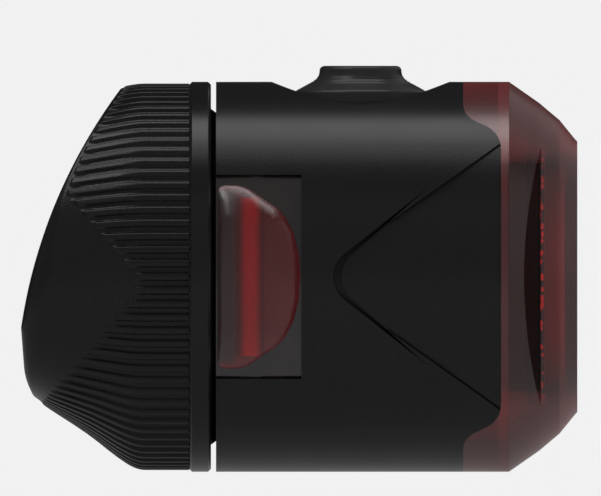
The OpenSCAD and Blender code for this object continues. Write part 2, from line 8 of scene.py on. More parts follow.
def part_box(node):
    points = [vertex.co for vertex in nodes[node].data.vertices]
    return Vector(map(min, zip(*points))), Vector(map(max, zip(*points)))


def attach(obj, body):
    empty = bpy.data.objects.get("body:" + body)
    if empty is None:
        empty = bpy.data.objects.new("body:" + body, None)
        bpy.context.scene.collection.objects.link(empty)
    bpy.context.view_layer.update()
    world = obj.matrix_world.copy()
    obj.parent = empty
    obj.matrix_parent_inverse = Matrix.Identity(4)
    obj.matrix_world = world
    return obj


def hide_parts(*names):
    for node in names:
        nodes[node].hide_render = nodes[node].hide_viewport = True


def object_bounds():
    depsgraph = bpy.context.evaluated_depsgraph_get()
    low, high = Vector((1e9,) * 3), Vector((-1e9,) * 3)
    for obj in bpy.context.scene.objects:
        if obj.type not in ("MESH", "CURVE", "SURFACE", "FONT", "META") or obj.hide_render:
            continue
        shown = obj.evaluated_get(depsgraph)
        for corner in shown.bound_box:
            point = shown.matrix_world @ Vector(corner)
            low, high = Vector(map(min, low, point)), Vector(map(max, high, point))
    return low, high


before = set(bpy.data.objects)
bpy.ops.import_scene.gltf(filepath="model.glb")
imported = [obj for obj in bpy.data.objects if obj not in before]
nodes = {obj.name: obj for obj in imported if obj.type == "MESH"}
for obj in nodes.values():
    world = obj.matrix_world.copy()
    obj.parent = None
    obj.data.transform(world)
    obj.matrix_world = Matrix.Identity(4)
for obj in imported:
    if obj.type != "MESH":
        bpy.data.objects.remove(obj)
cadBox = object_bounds()
mm = 0.001
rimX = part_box("housing")[0].x  # rear rim of the housing
print("frame loaded,", len(nodes), "nodes")

# Camera square to the light's side
shot = dict(width=601, height=496, pixelsPerMm=11.47, rimPixel=216, axisPixel=276.8, away=0.6)
cameraData = bpy.data.cameras.new("sideCamera")
cameraData.type = "ORTHO"
cameraData.ortho_scale = shot["width"] / shot["pixelsPerMm"] * mm
cameraData.clip_start = 0.01
cameraData.clip_end = 20
camera = bpy.data.objects.new("sideCamera", cameraData)
camera.location = (
    rimX + (shot["width"] / 2 - shot["rimPixel"]) / shot["pixelsPerMm"] * mm,
    -shot["away"],
    (shot["axisPixel"] - shot["height"] / 2) / shot["pixelsPerMm"] * mm,
)
camera.rotation_euler = (math.radians(90), 0, 0)
bpy.context.scene.collection.objects.link(camera)
bpy.context.scene.camera = camera
bpy.context.scene.view_settings.view_transform = "Standard"
print("camera placed")


def joinTo(tree, slot, value):
    if isinstance(value, Wire):
        tree.links.new(value.socket, slot)
    elif slot.type == "RGBA" and len(value) == 3:
        slot.default_value = (*value, 1)
    else:
        slot.default_value = value


# A socket that can be used in sums
class Wire:
    def __init__(self, tree, socket):
        self.tree = tree
        self.socket = socket

    def work(self, operation, first, second):
        node = self.tree.nodes.new("ShaderNodeMath")
        node.operation = operation
        joinTo(self.tree, node.inputs[0], first)
        joinTo(self.tree, node.inputs[1], second)
        return Wire(self.tree, node.outputs[0])

    def __add__(self, other):
        return self.work("ADD", self, other)

    def __radd__(self, other):
        return self.work("ADD", other, self)

    def __sub__(self, other):
        return self.work("SUBTRACT", self, other)

    def __rsub__(self, other):
        return self.work("SUBTRACT", other, self)

    def __mul__(self, other):
        return self.work("MULTIPLY", self, other)

    def __rmul__(self, other):
        return self.work("MULTIPLY", other, self)

    def __gt__(self, other):
        return self.work("GREATER_THAN", self, other)

    def __lt__(self, other):
        return self.work("LESS_THAN", self, other)


socketNames = dict(
    color="Base Color", rough="Roughness", metal="Metallic", shine="Specular IOR Level",
    through="Transmission Weight", bend="IOR", coat="Coat Weight", gloss="Coat IOR", blur="Coat Roughness",
    shed="Emission Color", power="Emission Strength",
)


# A material on object coordinates, made up step by step
class Finish:
    def __init__(self, name):
        self.material = bpy.data.materials.new(name)
        self.material.use_nodes = True
        self.tree = self.material.node_tree
        self.shader = self.tree.nodes["Principled BSDF"]
        self.place = self.add("TexCoord", out="Object")

    # Any node: its type, its settings, then its sockets
    def add(self, kind, settings=None, sockets=None, out=0):
        node = self.tree.nodes.new("ShaderNode" + kind)
        for key, value in (settings or {}).items():
            if key == "stops":
                points = node.color_ramp.elements
                while len(points) < len(value):
                    points.new(1)
                for point, (position, colour) in zip(points, value):
                    point.position = position
                    point.color = (*colour, 1)
            else:
                setattr(node, key, value)
        for key, value in (sockets or {}).items():
            joinTo(self.tree, node.inputs[key], value)
        return Wire(self.tree, node.outputs[out])

    def noise(self, scale, detail=3, where=None):
        return self.add("TexNoise", None, {"Vector": where or self.place, "Scale": scale, "Detail": detail})

    # How far each point is from the middle of its cell
    def cells(self, scale, feature="F1", where=None):
        sockets = {"Vector": where or self.place, "Scale": scale}
        return self.add("TexVoronoi", {"feature": feature}, sockets, out="Distance")

    def unsigned(self, value):
        return self.add("Math", {"operation": "ABSOLUTE"}, {0: value})

    def stretch(self, scale):
        return self.add("Mapping", None, {"Vector": self.place, "Scale": scale})

    def axis(self, name):
        return self.add("SeparateXYZ", None, {"Vector": self.place}, out=name)

    def tint(self, value, stops):
        return self.add("ValToRGB", {"stops": stops}, {"Fac": value})

    def mix(self, factor, first, second):
        return self.add("Mix", {"data_type": "RGBA"}, {0: factor, 6: first, 7: second}, out=2)

    def bump(self, height, depth, strength=1.0):
        normal = self.add("Bump", None, {"Height": height, "Distance": depth, "Strength": strength})
        joinTo(self.tree, self.shader.inputs["Normal"], normal)

    # Goes softly from 0 to the share while the value, a length, passes from low to high millimetres
    def rise(self, value, low, high, share=1.0):
        ends = {"From Min": low * mm, "From Max": high * mm, "To Min": 0.0, "To Max": share}
        return self.add("MapRange", {"interpolation_type": "SMOOTHSTEP"}, {"Value": value, **ends})

    # Light lost on its way through solid clear plastic
    def soak(self, colour, density):
        lost = self.add("VolumeAbsorption", None, {"Color": colour, "Density": density})
        joinTo(self.tree, self.tree.nodes["Material Output"].inputs["Volume"], lost)

    # Another shader takes over the share of the surface
    def blend(self, share, other):
        own = Wire(self.tree, self.shader.outputs[0])
        both = self.add("MixShader", None, {0: share, 1: own, 2: other})
        joinTo(self.tree, self.tree.nodes["Material Output"].inputs["Surface"], both)

    # A share of the surface scatters light instead of letting it through
    def cloud(self, share, colour, rough=0.5):
        self.blend(share, self.add("BsdfPrincipled", None, {"Base Color": colour, "Roughness": rough}))

    # A share of the surface only glows
    def glow(self, share, level):
        self.blend(share, self.add("Emission", None, {"Color": (1, 1, 1), "Strength": level}))

    def put(self, **values):
        for key, value in values.items():
            joinTo(self.tree, self.shader.inputs[socketNames[key]], value)


def dress(finish, *names):
    for name in names:
        mesh = nodes[name].data
        mesh.materials.clear()
        mesh.materials.append(finish.material)


# Black mouldings: fine spark texture, faint flow marks and handling sheen
moulding = dict(
    housing=dict(dark=0.0075, pale=0.0105, rough=0.24, swing=0.06, shine=0.30, depth=0.00002),
    ring=dict(dark=0.0070, pale=0.0100, rough=0.22, swing=0.06, shine=0.32, depth=0.00001),
    cap=dict(dark=0.0065, pale=0.0095, rough=0.26, swing=0.08, shine=0.30, depth=0.00002),
    plate=dict(dark=0.0080, pale=0.0120, rough=0.50, swing=0.08, shine=0.30, depth=0.00003),
    stem=dict(dark=0.0300, pale=0.0450, rough=0.42, swing=0.08, shine=0.40, depth=0.00002),
)


def blackMoulding(name, given):
    finish = Finish(name)
    spark = finish.noise(scale=5200, detail=2)
    handled = finish.noise(scale=160, detail=4)
    flow = finish.noise(scale=60, where=finish.stretch((0.4, 1, 1)))
    cool = 1.06  # the blacks lean a little to blue
    dark = (given["dark"], given["dark"], given["dark"] * cool)
    pale = (given["pale"], given["pale"], given["pale"] * cool)
    finish.put(color=finish.tint(flow * 0.6 + spark * 0.4, [(0.3, dark), (0.7, pale)]))
    finish.put(rough=given["rough"] + (handled - 0.5) * given["swing"] + (spark - 0.5) * 0.06)
    finish.put(shine=given["shine"])
    finish.bump(spark + handled * 0.15, given["depth"], strength=0.5)
    return finish


housingBlack = blackMoulding("housingBlack", moulding["housing"])
ringBlack = blackMoulding("ringBlack", moulding["ring"])
capBlack = blackMoulding("capBlack", moulding["cap"])
plateBlack = blackMoulding("plateBlack", moulding["plate"])
stemGrey = blackMoulding("stemGrey", moulding["stem"])
dress(housingBlack, "housing")
dress(ringBlack, "cap_ring")
dress(capBlack, "rear_cap")
dress(plateBlack, "back_plate", "inner_carrier", "switch_body")
dress(stemGrey, "switch_stem", "button_plunger")

# Soft black rubber with a fine pebbled skin
skin = dict(
    pad=dict(dark=0.0042, pale=0.0066, rough=0.52, grain=3400, depth=0.00003),
    seal=dict(dark=0.0060, pale=0.0090, rough=0.38, grain=4200, depth=0.00001),
    button=dict(dark=0.0190, pale=0.0260, rough=0.30, grain=4600, depth=0.00001),
)


def softRubber(name, given):
    finish = Finish(name)
    pebble = finish.cells(given["grain"], "SMOOTH_F1")
    dust = finish.noise(scale=420, detail=5)
    dark = (given["dark"],) * 3
    pale = (given["pale"],) * 3
    finish.put(color=finish.tint(dust, [(0.35, dark), (0.7, pale)]))
    finish.put(rough=given["rough"] + (dust - 0.5) * 0.12)
    finish.put(shine=0.26)
    finish.bump(pebble, given["depth"], strength=0.4)
    return finish


padRubber = softRubber("padRubber", skin["pad"])
sealRubber = softRubber("sealRubber", skin["seal"])
buttonRubber = softRubber("buttonRubber", skin["button"])

# Clear red plastic with slight ripples and a faint haze. Places are in millimetres, along the light
# from the housing's rear rim or up and down from its axis.
clearRed = dict(
    lens=dict(
        deep=(0.70, 0.10, 0.12), thin=(0.80, 0.14, 0.16), rough=0.05, bend=1.02,
        gloss=1.8, blur=0.28, soak=760, cloudy=(9.6, 11.4, 0.08), nose=(29.6, 30.3, 0.05),
        quiet=(26.85, 28.33, 11.4, 0.8), lip=(24.6, 25.5, 0.06),
    ),
    pane=dict(
        deep=(0.66, 0.09, 0.11), thin=(0.76, 0.13, 0.15), rough=0.10, bend=1.03,
        gloss=1.8, blur=0.30, soak=480, cloudy=(-2, -1, 0.006),
        grey=(0.24, 0.20, 0.20), greyEnd=(1.3, 2.0), greyTop=(7.3, 7.8),
    ),
)


def redPlastic(name, given):
    finish = Finish(name)
    cloud = finish.noise(scale=180)
    ripple = finish.noise(scale=420, detail=2)
    height = finish.unsigned(finish.axis("Z"))
    along = finish.axis("X") - rimX
    colour = finish.tint(cloud, [(0.3, given["deep"]), (0.75, given["thin"])])
    # the windows' rear strip, over the dark flange, is grey
    if "grey" in given:
        red = finish.rise(along, *given["greyEnd"]) + finish.rise(height, *given["greyTop"])
        colour = finish.mix(red, given["grey"], colour)
    finish.put(color=colour)
    finish.put(rough=given["rough"] + (cloud - 0.5) * 0.05)
    finish.put(through=1.0, bend=given["bend"], shine=0.5)
    finish.put(coat=1.0, gloss=given["gloss"], blur=given["blur"])
    # where the optic lies close behind the wall the surface shines less
    if "quiet" in given:
        near, far, reach, drop = given["quiet"]
        ratio = height * (1 / (reach * mm))
        curve = near * mm + ratio * ratio * ((far - near) * mm)
        finish.put(coat=1 - (along > curve) * (along < far * mm) * drop)
    finish.bump(ripple, depth=0.00001, strength=0.2)
    finish.soak((0.66, 0.0, 0.02), given["soak"])
    # thick lobes at the top and bottom, the nose and the lip scatter a little of the light
    thick = finish.rise(height, *given["cloudy"])
    if "nose" in given:
        thick = thick + finish.rise(along, *given["nose"])
    if "lip" in given:
        low, high, share = given["lip"]
        thick = thick + (along > low * mm) * (along < high * mm) * share
    finish.cloud(thick * (0.6 + cloud * 0.8), given["thin"])
    return finish


lensRed = redPlastic("lensRed", clearRed["lens"])
paneRed = redPlastic("paneRed", clearRed["pane"])
dress(lensRed, "front_lens")

# Inner optic: dark red in its depth, with ring facets, and painted glints on the rim of its front face that
# also glow
opticSet = dict(
    deep=(0.012, 0.003, 0.003), pale=(0.030, 0.006, 0.007), ring=(0.10, 0.010, 0.012), ringPitch=1.1,
    rim=0.45, spark=(0.55, 0.02, 0.03), paintedGlintGlow=(0.9, 0.04, 0.05), sparkScale=1400, paintedGlintSize=0.42,
)


def opticPlastic(name, given):
    finish = Finish(name)
    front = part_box("inner_optic")[1].x
    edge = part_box("inner_optic")[1].z
    rim = given["rim"] * mm
    depths = finish.noise(scale=260, detail=4)
    cells = finish.cells(given["sparkScale"])
    across = finish.axis("Y")
    upward = finish.axis("Z")
    reach = finish.add("Math", {"operation": "SQRT"}, {0: across * across + upward * upward})
    turns = reach * (2 * math.pi / (given["ringPitch"] * mm))
    wave = finish.add("Math", {"operation": "SINE"}, {0: turns})
    atFront = finish.axis("X") > front - rim
    # painted glints: small cells on the front rim get a bright red colour and a glow of their own, standing
    # in for light caught by the facets
    paintedGlint = atFront * (reach > edge - rim) * (cells < given["paintedGlintSize"])
    inside = finish.tint(depths, [(0.3, given["deep"]), (0.7, given["pale"])])
    facets = finish.mix((wave > 0.5) * atFront, inside, given["ring"])
    finish.put(color=finish.mix(paintedGlint, facets, given["spark"]))
    finish.put(rough=0.18 + (depths - 0.5) * 0.1, shine=0.3)
    # the painted glints glow, though the optic is no lamp
    finish.put(shed=finish.mix(paintedGlint, (0.0, 0.0, 0.0), given["paintedGlintGlow"]), power=1.0)
    finish.bump(cells * 0.4 + wave * 0.5, depth=0.00005, strength=0.5)
    return finish


dress(opticPlastic("opticRed", opticSet), "inner_optic")

# The windows' flange is masked dark behind, so only its gloss shows
flangeSet = dict(deep=(0.009, 0.006, 0.006), pale=(0.015, 0.009, 0.009), rough=0.14, gloss=1.62, blur=0.22)
smokedFlange = Finish("smokedFlange")
haze = smokedFlange.noise(scale=300)
smokedFlange.put(color=smokedFlange.tint(haze, [(0.3, flangeSet["deep"]), (0.7, flangeSet["pale"])]))
smokedFlange.put(rough=flangeSet["rough"] + (haze - 0.5) * 0.06, shine=0.5)
smokedFlange.put(coat=1.0, gloss=flangeSet["gloss"], blur=flangeSet["blur"])
smokedFlange.bump(haze, depth=0.00001, strength=0.2)

# The guide bar behind each dome is a denser red, with a painted glow: its colour is brightest along its
# middle and fades to the sides
guideSet = dict(middle=3.0, core=0.25, reach=1.1, paintedGlow=(0.36, 0.026, 0.032), dim=(0.050, 0.015, 0.016))
guideRed = Finish("guideRed")
grain = guideRed.noise(scale=900)
offCore = guideRed.unsigned(guideRed.axis("X") - (rimX + guideSet["middle"] * mm))
# painted glow: the colour falls off from the bright middle to the dim sides
glowFade = guideRed.rise(offCore, guideSet["core"], guideSet["reach"])
guideRed.put(color=guideRed.mix(glowFade + (grain - 0.5) * 0.2, guideSet["paintedGlow"], guideSet["dim"]))
guideRed.put(rough=0.32 + (grain - 0.5) * 0.2, shine=0.4)
guideRed.bump(grain, depth=0.00002, strength=0.3)

# Plated and bare metal with drawing lines along the light
plating = dict(
    plug=dict(deep=(0.50, 0.50, 0.49), pale=(0.66, 0.66, 0.65), rough=0.24, lines=(60, 4200, 4200)),
    screw=dict(deep=(0.46, 0.46, 0.46), pale=(0.62, 0.62, 0.61), rough=0.30, lines=(2600, 2600, 2600)),
    nickel=dict(deep=(0.48, 0.47, 0.43), pale=(0.62, 0.60, 0.55), rough=0.32, lines=(300, 3600, 3600)),
    gold=dict(deep=(0.62, 0.42, 0.12), pale=(0.80, 0.58, 0.22), rough=0.22, lines=(400, 4200, 4200)),
    foil=dict(deep=(0.40, 0.42, 0.45), pale=(0.56, 0.58, 0.60), rough=0.34, lines=(500, 500, 500)),
)


def metalFinish(name, given, crease=0.15):
    finish = Finish(name)
    drawn = finish.noise(scale=1, where=finish.stretch(given["lines"]))
    smear = finish.noise(scale=240, detail=4)
    finish.put(color=finish.tint(drawn * 0.6 + smear * 0.4, [(0.3, given["deep"]), (0.7, given["pale"])]))
    finish.put(metal=1.0, rough=given["rough"] + (smear - 0.5) * 0.16 + (drawn - 0.5) * 0.10)
    finish.bump(drawn + smear * 0.5, depth=0.00004, strength=crease)
    return finish


dress(metalFinish("plugSteel", plating["plug"]), "usb_shell")
dress(metalFinish("screwSteel", plating["screw"]), "back_plate_screws")
dress(metalFinish("tabNickel", plating["nickel"]), "battery_tabs")
dress(metalFinish("contactGold", plating["gold"]), "usb_contacts", "board_pins")
dress(metalFinish("cellFoil", plating["foil"], crease=0.5), "battery_cell")

# Circuit boards: solder mask over copper tracks, with vias
boards = dict(
    green=dict(mask=(0.012, 0.085, 0.032), track=(0.022, 0.14, 0.052), via=(0.55, 0.48, 0.30), grid=520),
    white=dict(mask=(0.70, 0.71, 0.69), track=(0.60, 0.61, 0.58), via=(0.55, 0.50, 0.36), grid=420),
)


def solderMask(name, given, flat):
    finish = Finish(name)
    layout = finish.stretch(flat)
    sockets = {"Vector": layout, "Scale": given["grid"], "Mortar Size": 0.03}
    lines = finish.add("TexBrick", {"offset": 0.5}, sockets, out="Fac")
    dots = finish.cells(given["grid"] * 1.1, where=layout)
    weave = finish.noise(scale=3000, detail=2)
    tracks = finish.mix(lines, given["mask"], given["track"])
    finish.put(color=finish.mix(dots < 0.12, tracks, given["via"]))
    finish.put(rough=0.32 + (weave - 0.5) * 0.12)
    finish.bump(lines + weave * 0.2, depth=0.00003, strength=0.4)
    return finish


dress(solderMask("maskGreen", boards["green"], (1, 1, 0)), "main_board")
dress(solderMask("maskWhite", boards["white"], (0, 1, 1)), "led_board")

# Small mouldings, resin and foam
smallStuff = dict(
    chip=dict(deep=(0.010, 0.010, 0.011), pale=(0.020, 0.020, 0.021), rough=0.46),
    tongue=dict(deep=(0.66, 0.66, 0.64), pale=(0.76, 0.76, 0.74), rough=0.34),
    barrel=dict(deep=(0.070, 0.068, 0.068), pale=(0.110, 0.106, 0.106), rough=0.40),
    foam=dict(deep=(0.030, 0.030, 0.033), pale=(0.075, 0.075, 0.080), rough=0.85),
)


def smallMoulding(name, given, grain=2600, depth=0.00003):
    finish = Finish(name)
    pit = finish.noise(scale=grain, detail=4)
    shade = finish.noise(scale=220)
    finish.put(color=finish.tint(pit * 0.5 + shade * 0.5, [(0.35, given["deep"]), (0.68, given["pale"])]))
    finish.put(rough=given["rough"] + (pit - 0.5) * 0.14)
    finish.bump(pit, depth, strength=0.5)
    return finish


dress(smallMoulding("chipBlack", smallStuff["chip"]), "charge_chips")
dress(smallMoulding("tongueWhite", smallStuff["tongue"]), "usb_tongue")
dress(smallMoulding("barrelGrey", smallStuff["barrel"]), "reflector")
foamGrey = smallMoulding("foamGrey", smallStuff["foam"], grain=1400, depth=0.0002)

# Light-emitting chips under a yellow resin
ledSet = dict(phosphor=(0.80, 0.62, 0.16), rim=(0.82, 0.80, 0.74), rough=0.22)
ledResin = Finish("ledResin")
speck = ledResin.noise(scale=2400)
ledResin.put(color=ledResin.tint(speck, [(0.4, ledSet["phosphor"]), (0.75, ledSet["rim"])]))
ledResin.put(rough=ledSet["rough"] + (speck - 0.5) * 0.12, coat=0.6)
ledResin.bump(speck, depth=0.00003, strength=0.3)
dress(ledResin, "main_leds", "side_leds")
print("finishes made")

# Pieces that take the place of a solid, for forms that the solid leaves plain
pieceSet = dict(sharp=38, mergeWithin=1e-7)


def addPiece(name, build, finish, body, stands):
    mesh = bpy.data.meshes.new(name)
    build.to_mesh(mesh)
    build.free()
    mesh.materials.append(finish.material)
    piece = bpy.data.objects.new(name, mesh)
    bpy.context.scene.collection.objects.link(piece)
    for polygon in mesh.polygons:
        polygon.use_smooth = True
    mesh.set_sharp_from_angle(angle=math.radians(pieceSet["sharp"]))
    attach(piece, body)
    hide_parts(stands)
    return piece


def weld(build):
    bmesh.ops.remove_doubles(build, verts=build.verts, dist=pieceSet["mergeWithin"])
    bmesh.ops.recalc_face_normals(build, faces=build.faces)


def spun(points, middle, axis, steps):
    build = bmesh.new()
    corners = [build.verts.new(point) for point in points]
    sides = [build.edges.new(pair) for pair in zip(corners, corners[1:])]
    bmesh.ops.spin(
        build, geom=corners + sides, cent=middle, axis=axis,
        angle=math.radians(360), steps=steps, use_merge=True,
    )
    weld(build)
    return build


# Silicone button: dished crown, fine ring grooves, sloping skirt and a hidden flange
button = dict(
    x=12.6, steps=120,
    # radius and height of the flange, the wall, the skirt with its grooves, the crown's side and its dish
    profile=[
        (0, 12.16), (6.36, 12.16), (6.42, 12.22), (6.42, 12.84), (6.36, 12.90), (5.78, 12.90),
        (5.73, 12.95), (5.73, 16.00), (5.70, 16.12), (5.62, 16.22), (5.48, 16.31),
        (5.10, 16.52), (4.75, 16.71), (4.46, 16.87), (4.41, 16.85), (4.35, 16.93), (4.18, 17.03),
        (4.13, 17.01), (4.07, 17.10), (3.92, 17.22), (3.87, 17.20), (3.82, 17.31),
        (3.71, 17.45), (3.64, 17.60), (3.59, 17.78), (3.575, 17.96), (3.55, 18.11), (3.48, 18.23),
        (3.38, 18.32), (3.24, 18.375), (3.05, 18.395),
        (2.80, 18.39), (2.45, 18.34), (1.60, 18.29), (0, 18.26),
    ],
)
buttonX = rimX + button["x"] * mm
profile = [(buttonX + radius * mm, 0, z * mm) for radius, z in button["profile"]]
addPiece(
    "pushButton", spun(profile, (buttonX, 0, 0), (0, 0, 1), button["steps"]),
    buttonRubber, "button", "power_button",
)

# Sealing ring on the spigot, with the fine seam that moulded rings carry
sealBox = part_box("seal_ring")
seal = dict(seam=0.025, halfPoints=12, steps=96)
sealX = (sealBox[0].x + sealBox[1].x) / 2
sealRound = (sealBox[1].x - sealBox[0].x) / 2
sealZ = sealBox[1].z - sealRound
section = []
for index in range(2 * seal["halfPoints"] + 1):
    turn = math.pi * index / seal["halfPoints"]
    onSeam = index % seal["halfPoints"] == 0
    radius = sealRound - (0 if onSeam else seal["seam"] * mm)
    section.append((sealX + radius * math.cos(turn), 0, sealZ + radius * math.sin(turn)))
addPiece(
    "sealLoop", spun(section, (0, 0, 0), (1, 0, 0), seal["steps"]),
    sealRubber, "mount", "seal_ring",
)

# Side windows: a sunk dark flange with a slot, and a raised D-shaped dome over it
window = dict(
    floorRadius=16.1, backRadius=14.85, bend=22, length=7.45, half=8.9, edge=0.32, slot=(1.70, 4.20, 6.9),
    outline=[(0.12, 8.0), (2.4, 8.0), (5.80, 5.70), (6.75, 3.9), (7.22, 2.0), (7.36, 0)],
    corner=0.8, cornersAbove=5, middle=3.4, halfWide=3.6, halfTall=8, cutPitch=0.5, skirt=0.15, slack=0.01,
    # how far in from the rim the dome has what share of its height
    steps=[(0.08, 0.30), (0.30, 0.60), (0.60, 0.82), (1.00, 0.95), (1.50, 1.00)],
    # height of the dome along the light, and how its front and its ends differ from the housing's curve
    rises=[(0, 0.56), (1.2, 0.70), (2.4, 0.80), (3.4, 0.80), (5.0, 0.66), (6.4, 0.44), (7.5, 0.26)],
    flat=(5.0, 0.36, 0.25),
)


def domeHeight(x):
    for (x0, h0), (x1, h1) in zip(window["rises"], window["rises"][1:]):
        if x <= x1:
            return h0 + (h1 - h0) * max(0, (x - x0) / (x1 - x0))
    return window["rises"][-1][1]


# The dome's front is flatter than the housing, and its ends slope down
def domeSwell(z):
    reach, rise, slope = window["flat"]
    return rise * (z / reach) ** 2 if abs(z) < reach else rise - (abs(z) - reach) * slope


def cutAt(build, spots, direction):
    for spot in spots:
        bmesh.ops.bisect_plane(
            build, geom=build.verts[:] + build.edges[:] + build.faces[:], dist=1e-5,
            plane_co=Vector(direction) * spot, plane_no=direction,
        )


# Wrap a flat layout in millimetres round the housing, a little flatter than its curve
def wrap(build, side):
    for vert in build.verts:
        x, lift, z = vert.co
        if lift > 0:
            lift *= domeHeight(x) + domeSwell(z)
        sag = window["bend"] - math.sqrt(window["bend"] ** 2 - z ** 2)
        vert.co = (rimX + x * mm, side * (window["floorRadius"] - sag + lift) * mm, z * mm)


def windowDome(side):
    build = bmesh.new()
    upper = [(x, 0, z) for x, z in window["outline"]]
    lower = [(x, 0, -z) for x, z in reversed(window["outline"][:-1])]
    corners = [build.verts.new(point) for point in upper + lower]
    build.faces.new(corners)
    bmesh.ops.bevel(
        build, geom=[v for v in corners if abs(v.co.z) > window["cornersAbove"]], offset=window["corner"],
        offset_type="OFFSET", affect="VERTICES", segments=5, profile=0.5, material=-1,
    )
    top = build.faces[:][0]
    rim = [v.co.copy() for v in top.verts]
    for inward, level in window["steps"]:
        made = bmesh.ops.extrude_discrete_faces(build, faces=[top])
        top = made["faces"][0]
        for vert, start in zip(top.verts, rim):
            vert.co = (
                window["middle"] + (start.x - window["middle"]) * (1 - inward / window["halfWide"]),
                level,
                start.z * (1 - inward / window["halfTall"]),
            )
    cuts = round(window["halfTall"] / window["cutPitch"])
    cutAt(build, [cut * window["cutPitch"] for cut in range(-cuts, cuts + 1)], (0, 0, 1))
    cutAt(build, [x for x, rise in window["rises"][1:-1]], (1, 0, 0))
    skirt = bmesh.ops.extrude_edge_only(build, edges=[e for e in build.edges if e.is_boundary])
    for vert in [g for g in skirt["geom"] if isinstance(g, bmesh.types.BMVert)]:
        vert.co.y = -window["skirt"]
    bmesh.ops.holes_fill(build, edges=[e for e in build.edges if e.is_boundary], sides=0)
    wrap(build, side)
    weld(build)
    return build


# The flange with its slot, or the guide bar that fills the slot
def windowFloor(side, isGuide):
    build = bmesh.new()
    bmesh.ops.create_grid(build, x_segments=2, y_segments=40, size=1)
    for vert in build.verts:
        vert.co = ((vert.co.x + 1) / 2 * window["length"], 0, vert.co.y * window["half"])
    slotLow, slotHigh, slotHalf = window["slot"]
    cutAt(build, [slotLow, slotHigh], (1, 0, 0))
    cutAt(build, [-slotHalf, slotHalf], (0, 0, 1))
    unwanted = []
    for face in build.faces:
        spot = face.calc_center_median()
        inSlot = slotLow < spot.x < slotHigh and abs(spot.z) < slotHalf
        if inSlot != isGuide:
            unwanted.append(face)
    bmesh.ops.delete(build, geom=unwanted, context="FACES")
    deep = bmesh.ops.extrude_face_region(build, geom=build.faces[:], use_keep_orig=True)
    for vert in [g for g in deep["geom"] if isinstance(g, bmesh.types.BMVert)]:
        vert.co.y = window["backRadius"] - window["floorRadius"]
    if not isGuide:
        ends = []
        for edge in build.edges:
            atEnd = min(abs(v.co.z) for v in edge.verts) > window["half"] - window["slack"]
            if atEnd and min(v.co.y for v in edge.verts) > -window["slack"]:
                ends.append(edge)
        bmesh.ops.bevel(
            build, geom=ends, offset=window["edge"], offset_type="OFFSET", affect="EDGES",
            segments=4, profile=0.5, material=-1,
        )
    wrap(build, side)
    weld(build)
    return build


for sideName, side in (("Right", -1), ("Left", 1)):
    node = "side_window_" + sideName.lower()
    addPiece("paneDome" + sideName, windowDome(side), paneRed, "light", node)
    addPiece("paneFlange" + sideName, windowFloor(side, False), smokedFlange, "light", node)
    addPiece("guideBar" + sideName, windowFloor(side, True), guideRed, "light", node)

# Rear cap: the solid's bands stay where they are, but every second one is sunk and all edges are
# rounded. The solid gives the smooth shape under them.
grip = dict(
    # the solid: its bands, and its lines from the ring over bend and hip to the panel and the back edge
    bands=176, firstBand=-90, lineMarks=(3, 5, 7), topMarks=(-7, -3, 3, 7), markSlack=0.02,
    bendRing=1, hipRing=5, panelRing=6, backRing=7, endRing=10, inside=7.5, cupRadius=14, cupX=6.3,
    ribDepth=0.35, hipDip=0.6, panelDrop=0.35, edgeFall=(0.15, 0.9),
    # the ribs: how deep the floors are sunk, how the ribs end and how far their tops are crowned
    sink=0.29, fade=1.1, fadePast=0.1, crest=0.06, step=0.26, crown=0.05, half=0.40, flatten=3.0,
    faceRadius=16.4,  # the solid's face at the ring stays inside the floors
    # across a rib, in bands: places on its top, then down its flank with the share of the sink
    tops=[-0.40, -0.27, -0.13, 0, 0.13, 0.27, 0.40],
    flank=[(0.43, 0.10), (0.49, 0.30), (0.55, 0.52), (0.61, 0.74), (0.67, 0.93), (0.74, 1)],
    # along a line, counted in the solid's lines, then round the back edge in degrees
    stops=[
        0, 0.6, 0.8, 0.9, 1, 1.2, 1.4, 1.6, 1.8, 2, 2.25, 2.5, 2.75, 3, 3.25, 3.5, 3.7, 3.85, 4, 4.25, 4.5,
        4.75, 5, 5.2, 5.4, 5.7, 6, 6.5, 7,
    ],
    edge=range(10, 91, 10),
)
gripAcross = [(spot, 0) for spot in grip["tops"]] + grip["flank"] + [(1, 1)]
gripAcross += [(2 - spot, sunk) for spot, sunk in reversed(grip["flank"])]
bandAngle = 360 / grip["bands"]
tenths = grip["bands"] * 10  # places round the cap are counted in tenths of a band


def ease(value):
    value = min(1, max(0, value))
    return value * value * (3 - 2 * value)


# Which of the solid's lines, from the ring to the back edge, a point is on
def gripSpot(point):
    x, y, z = point / mm
    radius = math.hypot(y, z)
    if radius < (grip["cupRadius"] if x > grip["cupX"] else grip["inside"]):
        return None
    place = (math.degrees(math.atan2(z, y)) - grip["firstBand"]) / bandAngle * 10
    if round(place) % 10 not in grip["lineMarks"] or abs(place - round(place)) > grip["markSlack"]:
        return None
    return round(place) % tenths, round(x, 4), round(radius, 4)


def gripLines(mesh):
    lines = {}
    for vert in mesh.vertices:
        spot = gripSpot(vert.co)
        if spot:
            lines.setdefault(spot[0], set()).add(spot[1:])
    return {key: sorted(points, reverse=True)[:grip["endRing"] + 1] for key, points in lines.items()}


# The line at any place, between the rib-top lines on either side of it, with the ribs filled up
def gripBase(lines, place):
    band = math.floor(place + 0.5)
    spot = (place - band) * 10
    marks = zip(grip["topMarks"], grip["topMarks"][1:])
    left, right = next(pair for pair in marks if spot <= pair[1])
    share = (spot - left) / (right - left)
    pairs = zip(lines[(band * 10 + left) % tenths], lines[(band * 10 + right) % tenths])
    base = [[a[0] + (b[0] - a[0]) * share, a[1] + (b[1] - a[1]) * share] for a, b in pairs]
    base[grip["hipRing"]][1] += grip["hipDip"] * grip["ribDepth"]
    base[grip["panelRing"]][1] += grip["panelDrop"] * grip["ribDepth"]
    base[grip["backRing"]][1] += grip["panelDrop"] * grip["ribDepth"]
    return base


